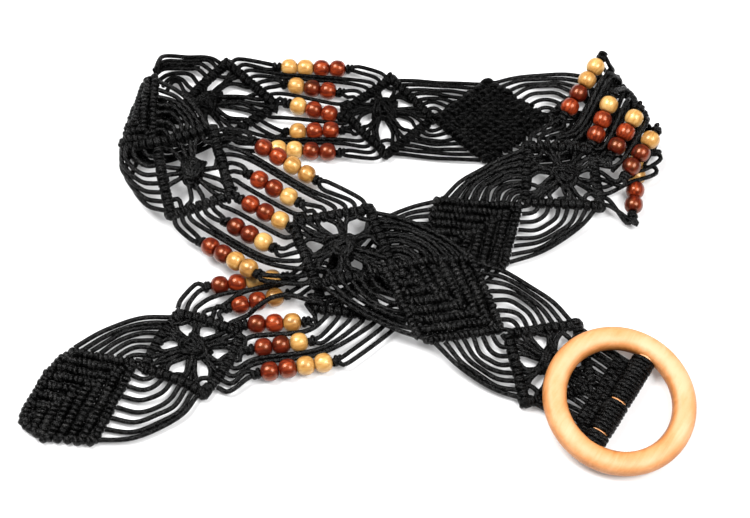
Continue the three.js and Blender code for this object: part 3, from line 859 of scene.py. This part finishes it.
# A square knot of several cords: bars over the gathered cords, held by loops at both sides
def centreKnots(work, name):
    random = work["random"]
    shift = knotShifts.get(name, (0, 0))
    u, v = spots[name] + shift[0], shift[1]
    down = 1 if name in backUp else -1
    for face in (1, -1):
        flat = centreKnot["underside"] if face == down else 1
        turn = random.normal(0, centreKnot["turn"])
        c, d = math.cos(turn), math.sin(turn)
        flip = random.choice([1, -1])

        def tie(chain):
            spun = [(u + a * c - b * flip * d, v + a * d + b * flip * c, w * face * flat)
                    for a, b, w in chain]
            addCord(work, spun, loose=centreKnot["loose"])

        reach, (upper, lower) = centreKnot["reach"], centreKnot["first"]
        for i in range(centreKnot["bars"]):  # leaning bars over the upper part
            at = upper + centreKnot["spacing"] * i
            high = centreKnot["high"] - centreKnot["drop"] * abs(i - 1.5)
            tie([(at - 1.4, -reach, 0.2), (at - 0.9, -reach * 0.6, high * 0.8), (at + 0.5, 0, high),
                 (at + 2.2, reach * 0.6, high * 0.85), (at + 3.6, reach, -0.2)])
        for i in range(centreKnot["bars"] - 1):  # the other way over the lower part
            at = lower + centreKnot["spacing"] * i
            high = centreKnot["high"] - centreKnot["drop"] * abs(i - 1)
            tie([(at + 1.6, -reach, -0.2), (at + 1.2, -reach * 0.62, high * 0.75),
                 (at + 0.2, 0, high * 1.05), (at - 1.6, reach * 0.5, high * 1.2),
                 (at - 3.2, reach * 0.95, 0.2)])
        for half in (1, -1):
            for i in range(centreKnot["loops"]):
                out = centreKnot["loopOut"] - centreKnot["loopStep"] * i
                high = centreKnot["loopHigh"] + centreKnot["loopRise"] * i
                tie([(-3.8, half * (out - 2), 0), (-2.4, half * out, high),
                     (0.2, half * (out + 0.6), high * 1.15), (2.4, half * out, high),
                     (3.8, half * (out - 2), 0)])


# How far out a fan's outermost cord lies half way, and the steps from cord to cord, closer outside
fan = {
    "outer": 28.6, "steps": (2.3, 4.7), "uneven": 0.5, "closest": 2.4, "inner": 4.4,
    "shortest": 0.24,                               # most bulge of a cord, as a share of its length
    "weave": 0.25, "behind": -1.5,                  # heights of neighbours, and of the cords behind
    "roundness": 0.6, "flatBulge": 0.5, "loose": 0.22,
}
fanOuters = {("f1", -1, 1): 27, ("f1", -1, -1): 31}
# A fan at the left fold that bulges out past it: lattice, end and half, with the way that it bulges
turnedFans = {
    ("f7", -1, -1): {"toward": (-1, 0), "bulge": 6.6, "bulgeStep": 0.3, "shortest": 0.34},
}
# Cords that hook round the left fold's upper corner, from the fold to the lattice's rib
hookedCords = [
    [(-115.4, 106, 15), (-114.8, 111.7, 13), (-113.5, 117.1, 10), (-109.2, 120.5, 6), (-100.7, 120.4, 5),
     (-92.6, 120.5, 5), (-87.2, 119.7, 4.5), (-83.4, 117.3, 4)],
    [(-115.9, 105.1, 14.5), (-114.6, 110.8, 12), (-110.8, 116.2, 7.5), (-103.7, 117.4, 5.5),
     (-96.2, 118.2, 5), (-90.4, 118.6, 5), (-87.1, 116.7, 4.5), (-85.1, 114.3, 4)],
    [(-116.1, 104.9, 13), (-113.8, 111, 10), (-108.1, 114.5, 7), (-99.8, 115.3, 5.5), (-94.3, 116.3, 5),
     (-90.7, 114.3, 4.5), (-87.7, 111.7, 4)],
    [(-116.7, 103, 12), (-112.8, 109.5, 9), (-106.4, 112, 6.5), (-99, 112.3, 5.5), (-95.4, 113, 5),
     (-92.3, 110.4, 4.5), (-90.1, 108.5, 4)],
    [(-114.3, 99.8, 12), (-111, 105.8, 8.5), (-107.2, 108.5, 6.5), (-102.1, 109.5, 5.5), (-98.1, 108.5, 5),
     (-95.8, 105.5, 4.5), (-94.4, 103.6, 4)],
    [(-111.6, 97.3, 11), (-109.3, 103.6, 8), (-105.5, 106.3, 6), (-102, 104.7, 5.5),
     (-99.8, 101.9, 5), (-96.8, 99.7, 4)],
    [(-109.3, 94.1, 11), (-107.6, 101.7, 8), (-104.8, 103.8, 6), (-102.8, 101.2, 5.5),
     (-101.4, 98.3, 5), (-98.2, 96.1, 4)],
    [(-117.2, 107.6, 11), (-110, 114.3, 4.5), (-100.5, 114.6, 3.5), (-94.1, 114.7, 3)],
]

# Fans that are pushed together, with cords behind the gaps
closeFans = [("f8", 1, 1), ("f3", -1, 1)]
# Fans whose outer cords run nearly straight along the edge, with the outermost one's bulge
flatFans = {("f5", -1, -1): 0.2, ("f5", -1, 1): 0.6}


# Where a fan's cords lie half way along, from the outermost in
def fanMiddles(work, outer):
    count = belt["cords"] - 1
    steps = np.linspace(*fan["steps"], count) + work["random"].normal(0, fan["uneven"], count)
    spare = np.maximum(steps - fan["closest"], 0)
    spare *= (outer - fan["inner"] - count * fan["closest"]) / spare.sum()
    return outer - np.concatenate([[0], np.cumsum(spare + fan["closest"])])


# Nested cords between a lattice and the diamond next to it
def fanCords(work, name, along):
    u = spots[name]
    diamondU = u + along * (belt["diamondLength"] + belt["latticeLength"])
    for half in (1, -1):
        if (name, along, half) == ("f6", 1, 1):
            for chain in hookedCords:
                addSpaceCord(work, chain)
            continue
        numbers = list(range(belt["cords"]))
        middles = fanMiddles(work, fanOuters.get((name, along, half), fan["outer"]))
        if (name, along, half) in closeFans:
            numbers += [k + 0.5 for k in numbers[:-1]]
        for k in numbers:
            start = ribPlace(k, half, along) + (u, 0)
            end = np.array([diamondU - along * belt["diamondLength"] * shareOf(k),
                            half * belt["diamondWidth"] * (1 - shareOf(k))])
            if (name, along) == ("f1", -1):
                end[1] = leaning(1, *end)
            if (name, along, half) in turnedFans:
                turnedCord(work, start, end, k, turnedFans[name, along, half])
                continue
            bulge = np.interp(k, range(belt["cords"]), middles) - abs(start[1] + end[1]) / 2
            if (name, along, half) in flatFans:
                bulge = flatFans[name, along, half] + fan["flatBulge"] * k
            bulge = min(bulge, fan["shortest"] * np.linalg.norm(end - start))
            w = fan["weave"] * (-1) ** k if k in range(belt["cords"]) else fan["behind"]
            chain = []
            for t in np.linspace(0, 1, 4 if k > 4 else 5):  # fewer points on the short cords
                point = start + (end - start) * t
                rise = (4 * t * (1 - t)) ** fan["roundness"]
                chain.append((point[0], point[1] + half * bulge * rise, w))
            addCord(work, chain, loose=fan["loose"] * (0.5 if k > 5 else 1))


# A fan cord that bulges out past the fold instead of lying round it
def turnedCord(work, start, end, k, values):
    first, last = placed([(*start, 0), (*end, 0)])[0]
    chord = last - first
    out = np.array([chord[1], -chord[0], 0]) / np.linalg.norm(chord[:2])
    out = out if out[:2] @ values["toward"] > 0 else -out
    bulge = values["bulge"] + values["bulgeStep"] * (belt["cords"] - 1 - k)
    bulge = min(bulge, np.linalg.norm(chord) * values["shortest"])
    chain = []
    for t in np.linspace(0, 1, 6):
        chain.append(first + chord * t + out * bulge * (4 * t * (1 - t)) ** fan["roundness"])
    addSpaceCord(work, chain)


# At the left fold one rib lies over everything, from the diamond's corner to the lattice's
overRib = {"f7": [(-130.7, 56.9, 7), (-125.1, 57.6, 13.5), (-114.2, 57.6, 17.4), (-104.2, 59.7, 17.4),
                  (-94.3, 63.3, 17.6), (-86.4, 66.9, 17.4)]}


# Bead rows: each hangs on two cords, and other cords run past it

rowCords = {
    # row: the cord numbers on the rib, with the half that they come from
    "a": [(0, 1), (1, 1)], "b": [(4, 1), (5, 1)], "c": [(7, 1), (7, -1)],
    "d": [(5, -1), (4, -1)], "e": [(1, -1), (0, -1)],
}
passingCords = {
    # between two rows: cord numbers and half
    "ab": [(2, 1), (3, 1)], "bc": [(6, 1)], "cd": [(6, -1)], "de": [(3, -1), (2, -1)],
}
rowV = {"a": 28, "b": 14, "c": 0, "d": -14, "e": -28}
foldShares = [0.22, 0.46, 0.7]  # where the cords that go round the right fold are held to it
# Distances along a row's line from its end, and beside it
rowEnd = {
    "far": 7, "bow": (1.6, 2.6), "near": 3.4, "pair": 0.7, "foldPair": 0.8,
    "last": 1.2, "lastPair": 0.5, "inside": 1.5,    # where the pair goes into the first bead
    "knot": (0.6, 3.6),                             # the small rib over the pair
    "between": 1.2, "exit": 3,                      # between passing cords, and out of the rib
}


def rowLine(name):
    row = next(r for r in beadRows if r[0] == name)
    middle = np.array(row[1:4], float)
    heading, climb = math.radians(row[4]), math.radians(row[5])
    level = math.cos(climb)
    direction = np.array([math.cos(heading) * level, math.sin(heading) * level, math.sin(climb)])
    count = 4 if name[2] in longRows else 3
    half = direction * count * bead["pitch"] / 2
    return {"count": count, "direction": direction, "start": middle - half, "end": middle + half}


def sideways(direction):
    across = np.cross([0, 0, 1.0], direction)
    return across / np.linalg.norm(across)


# Points of the bent belt between a rib and the rows beyond the fold
def foldPoints(lattice, along, k, half, beads, letterV):
    rib = ribPlace(k, half, along) + (spots[lattice], 0)
    row = np.array([spots[beads] - along * 2 * bead["pitch"], letterV])
    return list(placed([(*(rib + (row - rib) * share), 0) for share in foldShares])[0])


# A cord leaves its rib square to it
def ribExit(lattice, along, k, half):
    rib = ribPlace(k, half, along) + (spots[lattice], 0)
    out = np.array([along * belt["latticeWidth"], half * belt["latticeLength"]])
    out = out / np.linalg.norm(out) * (rowEnd["exit"] * (2 - shareOf(k)))
    return list(placed([(*rib, 0), (*(rib + out), 0)])[0])


# The direction of the v side, square to a row; the third place lies face down
def upperSide(beads, direction):
    return sideways(direction) * (-1 if beads == "b3" else 1)


# The pairs of cords from a lattice to its bead rows, with a knot at each row's end
def rowEnds(work, lattice, along, beads):
    for letter, cords in rowCords.items():
        row = rowLine(beads + letter)
        end = row["start"] if along > 0 else row["end"]
        away = -row["direction"] * along
        across = upperSide(beads, row["direction"])
        bow = work["random"].uniform(*rowEnd["bow"])
        for i, (k, half) in enumerate(cords):
            side = across * (-1 if i else 1)
            chain = ribExit(lattice, along, k, half)
            if lattice == "f4":
                chain += foldPoints(lattice, along, k, half, beads, rowV[letter])
                pair = [("near", rowEnd["foldPair"])]
            else:
                pair = [("far", bow), ("near", rowEnd["pair"])]
            pair.append(("last", rowEnd["lastPair"]))
            chain += [end + away * rowEnd[where] + side * apart for where, apart in pair]
            addSpaceCord(work, chain + [end - away * rowEnd["inside"]])
        addSpaceCord(work, [end + away * d for d in rowEnd["knot"]], isRib=True, step=shortStep)


# Cords that hang out in loops between the last rows of the right fold, and two that lie over
# beads of the first place
looseLoops = {
    ("b2", 3, -1): [(135, 45.5, 9), (143.5, 51, 8), (147, 55, 8), (143.7, 59, 8.5)],
    ("b2", 2, -1): [(129.7, 39.5, 8.5), (140.2, 43.7, 7.5), (144.1, 46.6, 7), (142.8, 49.6, 7.5),
                    (137.7, 49.8, 8)],
    ("b1", 6, 1): [(-62, -34.4, 6), (-57.4, -31.8, 9.5), (-49.8, -26.9, 11), (-41.2, -25.5, 10.8),
                    (-32.5, -27, 8.5), (-24.3, -28.2, 6.5)],
    ("b1", 3, 1): [(-74.4, -29.1, 6), (-65.6, -23.8, 9), (-55, -20.5, 9.5), (-43.9, -18, 9),
                   (-33.8, -17, 7)],
}

# Other cords that show between the right fold's rows, from the fold down to the lattice
creaseCords = [
    [(122.6, 104.1, 15), (113.4, 85.9, 11.5), (106.2, 71, 10), (95.5, 64.2, 9)],
    [(125, 100.9, 15), (115.8, 83.4, 11.5), (109.8, 71, 10.5), (100.5, 61.8, 9)],
    [(118.7, 99, 13), (111.5, 86.6, 9.5), (102.2, 71.6, 8.5), (90.6, 66.1, 8)],
    [(130.1, 91.4, 14), (125.5, 80.9, 11), (120, 68.5, 10), (112.5, 58, 9.5)],
    [(134.1, 87, 13), (128.1, 74.6, 11), (120.9, 61.1, 10), (114, 52, 9.5)],
    [(139.1, 77.7, 12), (133.7, 66, 10), (127.7, 53.9, 9), (121, 46, 9)],
]


# Cords that run past the bead rows from one lattice to the next
def passing(work, first, beads, second):
    for pair, cords in passingCords.items():
        rows = [rowLine(beads + letter) for letter in pair]
        startMiddle = (rows[0]["start"] + rows[1]["start"]) / 2
        endMiddle = (rows[0]["end"] + rows[1]["end"]) / 2
        across = upperSide(beads, (endMiddle - startMiddle) / np.linalg.norm(endMiddle - startMiddle))
        for i, (k, half) in enumerate(cords):
            side = across * (0 if len(cords) == 1 else rowEnd["between"] * (-1 if i else 1))
            far = ribExit(second, -1, k, half)[::-1]
            if second == "f4":
                letterV = (rowV[pair[0]] + rowV[pair[1]]) / 2
                far = foldPoints(second, -1, k, half, beads, letterV)[::-1] + far
            past = [startMiddle + side, endMiddle + side]
            if (beads, k, half) in looseLoops:
                past = [np.array(p, float) for p in looseLoops[beads, k, half]]
            addSpaceCord(work, ribExit(first, 1, k, half) + past + far)


# Corners of a lattice that are pulled: v of the corner, and how far it goes
pulledCorners = {"f1": [(28, (0.5, -5)), (-28, (-5.5, 0.5))]}


def lattice(index):
    name = f"f{index}"
    pulls = [((spots[name], v), pull) for v, pull in pulledCorners.get(name, [])]
    work = newWork(seeds["lattice"] + index, pulls)
    order = [row[0] for row in sections].index(name)
    before, after = sections[order - 1][0], sections[order + 1][0]
    u = spots[name]
    latticeRibs(work, u)
    if name == "f3":
        for chain in creaseCords:
            addSpaceCord(work, chain)
    if name in overRib:
        addSpaceCord(work, overRib[name], isRib=True)
    gatheredCords(work, name)
    bypassLoops(work, u)
    centreKnots(work, name)
    if before[0] == "d":
        fanCords(work, name, -1)
    else:
        rowEnds(work, name, -1, before)
    if after[0] == "d":
        fanCords(work, name, 1)
    elif after != "bar":
        rowEnds(work, name, 1, after)
        passing(work, name, after, sections[order + 2][0])
    return work


def knotPiece(name, work, values, *nodes):
    finishPiece(plainMesh(name, workMesh(name, work), knots, values), "cord", *nodes)


rowValues = {
    **knotValues, "Pitch": 0.00255, "Pairing": 0.0001, "Slant": 0.0004, "Unevenness": 0.36,
    "Cord radius": diamondRows["cord"] / 2000,
    "Across": (diamondRows["rib"] - diamondRows["cord"]) / 2000,
    "High": (diamondRows["high"] - diamondRows["cord"]) / 2000,
}
rowFinishes = {1: paintedLightFinish, 3: paintedShadeFinish, 5: paintedLightFinish}  # two take the copy with painted light, and the one that lies face down takes the copy with painted shade
for index in range(1, 6):
    values = {**rowValues, "Material": rowFinishes.get(index, cordFinish)}
    knotPiece(f"diamond_rows_{index}", diamond(index), values, f"diamond_{index}")
print("diamonds are knotted")

cordSizes = {1: 2.5, 4: 2.2, 5: 2.15, 7: 2.5, 8: 2.45, 9: 2.5}  # looser or tighter than the others
# Lattices that lie face down take the copy with painted shade
for index in range(1, 10):
    values = {**knotValues, "Cord radius": cordSizes.get(index, belt["cord"]) / 2000,
              "Material": paintedShadeFinish if f"f{index}" in backUp else cordFinish}
    knotPiece(f"lattice_cords_{index}", lattice(index), values, f"lattice_{index}")
print("lattices are knotted")


# Beads

# One bead: a barrel with rounded shoulders and a hole, round its own Z axis
def beadSource():
    half, radius, hole = bead["pitch"] / 2 - bead["gap"], bead["diameter"] / 2, bead["hole"] / 2
    power = bead["squareness"]
    outline = []
    for t in np.linspace(-1, 1, bead["rings"]):
        swell = (1 - abs(t * bead["fullness"]) ** power) ** (1 / power)
        outline.append((radius * swell, half * t))
    outline += [(hole, half * bead["holeDepth"]), (hole, -half * bead["holeDepth"])]
    sides = bead["sides"]
    verts = [(r * math.cos(2 * math.pi * s / sides), r * math.sin(2 * math.pi * s / sides), z)
             for r, z in outline for s in range(sides)]
    rows = len(outline)
    faces = [(i * sides + s, i * sides + (s + 1) % sides, (i + 1) % rows * sides + (s + 1) % sides,
              (i + 1) % rows * sides + s) for i in range(rows) for s in range(sides)]
    mesh = newMesh("beadSource", [Vector(p) / 1000 for p in verts], faces)
    addAttribute(mesh, "beadPoint", "FLOAT_VECTOR", np.array(verts, np.float32) / 1000)
    return newObject("beadSource", mesh)


# A bead on every point, turned to its row
def beadTree():
    tree, given, result = newTree("beadString", [("Bead", "Object"), ("Material", "Material")])
    source = put(tree, "GeometryNodeObjectInfo", {"Object": given["Bead"]}).outputs["Geometry"]
    axis = named(tree, "axis", "FLOAT_VECTOR")
    aimed = put(tree, "FunctionNodeAlignRotationToVector", {"Vector": axis}, axis="Z")
    turn = sums(tree, "MULTIPLY", named(tree, "beadTone", "FLOAT"), bead["turns"])
    spin = put(tree, "FunctionNodeAxisAngleToRotation", {"Axis": (0, 0, 1), "Angle": turn})
    turned = put(tree, "FunctionNodeRotateRotation",
                 {"Rotation": aimed.outputs[0], "Rotate By": spin.outputs[0]}, rotation_space="LOCAL")
    dots = put(tree, "GeometryNodeMeshToPoints", {"Mesh": given["Geometry"]})
    copies = put(tree, "GeometryNodeInstanceOnPoints",
                 {"Points": dots.outputs[0], "Instance": source, "Rotation": turned.outputs[0]})
    tree.links.new(painted(tree, copies.outputs[0], given["Material"]), result.inputs[0])
    return tree


def beadPoints(name, place, colour, seed):
    random = np.random.default_rng(seed)
    points, axes = [], []
    for letter in "abcde":
        row = rowLine(f"b{place}{letter}")
        wanted = range(bead["red"]) if colour == "red" else range(bead["red"], row["count"])
        for i in wanted:
            points.append(row["start"] + row["direction"] * (i + 0.5) * bead["pitch"])
            axes.append(row["direction"] + random.normal(0, bead["tilt"], 3))
    mesh = newMesh(name, [Vector((p + layShift) / 1000) for p in points])
    addAttribute(mesh, "axis", "FLOAT_VECTOR", np.array(axes, np.float32))
    addAttribute(mesh, "beadTone", "FLOAT", random.random(len(points)).astype(np.float32))
    return mesh


source = beadSource()
beads = beadTree()
for place in range(1, 5):
    for colour, finish in beadFinishes.items():
        name = f"{colour}_beads_{place}"
        mesh = beadPoints(name, place, colour, seeds["bead"] + place * 10 + (colour == "tan"))
        piece = plainMesh(name, mesh, beads, {"Bead": source, "Material": finish})
        finishPiece(piece, colour + "_bead", *[f"beads_{place}{letter}_{colour}" for letter in "abcde"])
bpy.data.objects.remove(source)
print("beads are strung")


# Ring and bar

ringPose = (Matrix.Translation(Vector(np.array(ring["centre"]) + layShift) / 1000)
            @ Matrix.Rotation(math.radians(ring["barTurn"]), 4, "Z")
            @ Matrix.Rotation(math.radians(ring["tilt"]), 4, "X"))


# The wooden ring: a round-cornered section turned round, and the bar across it
def ringPiece():
    verts, rims, faces = [], [], []
    steps, sides, power = ring["steps"], ring["sides"], ring["squareness"]
    for i in range(steps):
        turn = 2 * math.pi * i / steps
        here, there = i * sides, (i + 1) % steps * sides
        for s in range(sides):
            angle = 2 * math.pi * s / sides
            c, d = math.cos(angle), math.sin(angle)
            swell = (abs(c) ** power + abs(d) ** power) ** (-1 / power)
            out, up = c * swell, d * swell
            radius = ring["radius"] + out * ring["width"] / 2
            verts.append((radius * math.cos(turn), radius * math.sin(turn), up * ring["height"] / 2))
            # Painted shade, strongest on the middle of the inner and outer walls
            rims.append(abs(out) ** 3 * (ring["innerRim"] if out < 0 else ring["outerRim"]))
            after = (s + 1) % sides
            faces.append((here + s, there + s, there + after, here + after))
    first, steps, sides = len(verts), ring["barSteps"], ring["barSides"]
    for i in range(steps + 1):
        t = 2 * i / steps - 1
        flare = 1 + ring["flare"] * max(0, -t - (1 - ring["flareLength"])) / ring["flareLength"]
        for s in range(sides):
            angle = 2 * math.pi * s / sides
            verts.append((t * ring["radius"], ring["bar"] / 2 * flare * math.cos(angle),
                          ring["barHigh"] / 2 * flare * math.sin(angle)))
            rims.append(ring["barRim"])
            if i < steps:
                a, b = first + i * sides + s, first + i * sides + (s + 1) % sides
                faces.append((a, b, b + sides, a + sides))
    faces.append(tuple(first + s for s in reversed(range(sides))))
    faces.append(tuple(first + steps * sides + s for s in range(sides)))
    mesh = newMesh("ring_and_bar", [Vector(p) / 1000 for p in verts], faces)
    addAttribute(mesh, "ringPoint", "FLOAT_VECTOR", np.array(verts, np.float32) / 1000)
    addAttribute(mesh, "ringRim", "FLOAT", np.array(rims, np.float32))
    mesh.transform(ringPose)
    mesh.materials.append(ringFinish)
    mesh.shade_smooth()
    return newObject("ring_and_bar", mesh)


finishPiece(ringPiece(), "ring_wood", "buckle_ring")


# Cords round the bar, and the knots between them and the last lattice

# Each group is its start along the bar and its turns, which all begin under the bar
barWraps = {"groups": [(-26.2, 3), (-18.9, 8), (-0.8, 12)], "pitch": 2.1, "under": 0.75, "lower": 0.7,
            "points": 12}


def barWork():
    work = newWork(seeds["wraps"])
    pose = np.array(ringPose)
    for start, turns in barWraps["groups"]:
        low, end = -barWraps["lower"], start + turns * barWraps["pitch"]
        line = np.linspace([start, 0, low, 1], [end, 0, low, 1], barWraps["points"])
        line[:, :3] /= 1000
        points = (line @ pose.T)[:, :3] * 1000 - layShift
        fronts = np.tile(pose[:3, 2], (len(points), 1))
        addPath(work, points, fronts, True)
        work["phase"][-1][:] = barWraps["under"]
    return work


knotPiece("bar_wraps", barWork(), {
    **knotValues, "Pitch": barWraps["pitch"] / 1000, "Across": 0.0049, "High": 0.0037,
    "Slant": 0.0003, "Pairing": 0.00008, "Unevenness": 0.1,
}, "bar_loops")


barCords = {
    "outermost": 21, "spacing": 2.6,                # where they reach the bar, from its middle
    "leave": (5, 0.97, 0.3),                        # off the rib: how far, share of v, height
    "before": (9, 0.5), "at": (1.5, 3.5),           # how far before the bar, height
    "rows": [(12, 19), (8, 20)],                    # rows of knots: from the bar, half length
    "rowHigh": 0.6, "rowMiddle": (0.6, 0.9), "loose": 0.3,
}


# Cords from the last lattice's ribs to the bar, and rows of knots across them
def barKnots():
    work = newWork(seeds["bar"])
    u, bar = spots["f9"], spots["bar"]
    (far, draw, rise), (before, low), (last, high) = barCords["leave"], barCords["before"], barCords["at"]
    for half in (1, -1):
        for k in range(belt["cords"]):
            rib = ribPlace(k, half, 1)
            v = half * (barCords["outermost"] - barCords["spacing"] * k)
            chain = [(u + rib[0], rib[1], 0), (u + rib[0] + far, rib[1] * draw, rise),
                     (bar - before, v, low), (bar - last, v, high)]
            addCord(work, chain, loose=barCords["loose"])
    edge, (bow, middle) = barCords["rowHigh"], barCords["rowMiddle"]
    for away, half in barCords["rows"]:
        chain = [(bar - away, -half, edge), (bar - away + bow, 0, middle), (bar - away, half, edge)]
        addCord(work, chain, isRib=True, loose=barCords["loose"])
    return work


knotPiece("bar_knots", barKnots(), knotValues)
print("ring and bar are done")


# Floor, light and camera

# A glow lightens the shadows on the floor, and far from the belt it stands in for the lamps
floorLook = {
    "colour": (0.66, 0.658, 0.66, 1), "roughness": 0.9, "size": 8,
    "glow": (1, 0.997, 1, 1), "strength": (0.16, 0.85), "distance": (0.45, 1.1),
}
studio = {"Color": (1, 0.995, 0.99, 1), "Strength": 0.18}
lamps = {
    "keyLight": {"place": (-0.45, 0.22, 0.95), "size": 0.6, "power": 18.5},
    "fillLight": {"place": (0.5, -0.2, 0.92), "size": 0.6, "power": 13},
}
camera = {"lens": 65, "sensor": 36, "pitch": 62, "distance": 677.1}


def floorPiece():
    material, tree, shader = newMaterial("paleFloor")
    place = put(tree, "ShaderNodeTexCoord").outputs["Object"]
    away = put(tree, "ShaderNodeVectorMath", {0: place}, operation="LENGTH").outputs["Value"]
    fill(tree, shader, {
        "Base Color": floorLook["colour"], "Roughness": floorLook["roughness"],
        "Emission Color": floorLook["glow"],
        "Emission Strength": between(tree, away, *floorLook["strength"], *floorLook["distance"]),
    })
    size = floorLook["size"]
    corners = [(-size, -size, 0), (size, -size, 0), (size, size, 0), (-size, size, 0)]
    mesh = newMesh("floor", corners, [(0, 1, 2, 3)])
    mesh.materials.append(material)
    floor = newObject("floor", mesh)


# A round lamp that shines on the belt's middle
def areaLight(name, place, size, power):
    data = bpy.data.lights.new(name, "AREA")
    data.shape = "DISK"
    data.size = size
    data.energy = power
    lamp = newObject(name, data)
    lamp.location = place
    lamp.rotation_euler = (-Vector(place)).to_track_quat("-Z", "Y").to_euler()


# The camera looks down at the belt's middle, as the photo does
def photoCamera():
    data = bpy.data.cameras.new("camera")
    data.lens = camera["lens"]
    data.sensor_width = camera["sensor"]
    pitch = math.radians(camera["pitch"])
    toCamera = np.array([0, -math.cos(pitch), math.sin(pitch)])
    eye = newObject("camera", data)
    eye.location = Vector(layShift + camera["distance"] * toCamera) / 1000
    eye.rotation_euler = (math.pi / 2 - pitch, 0, 0)
    return eye


floorPiece()
world = bpy.data.worlds.new("studio")
world.use_nodes = True
fill(world.node_tree, world.node_tree.nodes["Background"], studio)
for name, values in lamps.items():
    areaLight(name, **values)
bpy.context.scene.world = world
bpy.context.scene.view_settings.view_transform = "Standard"
bpy.context.scene.camera = photoCamera()
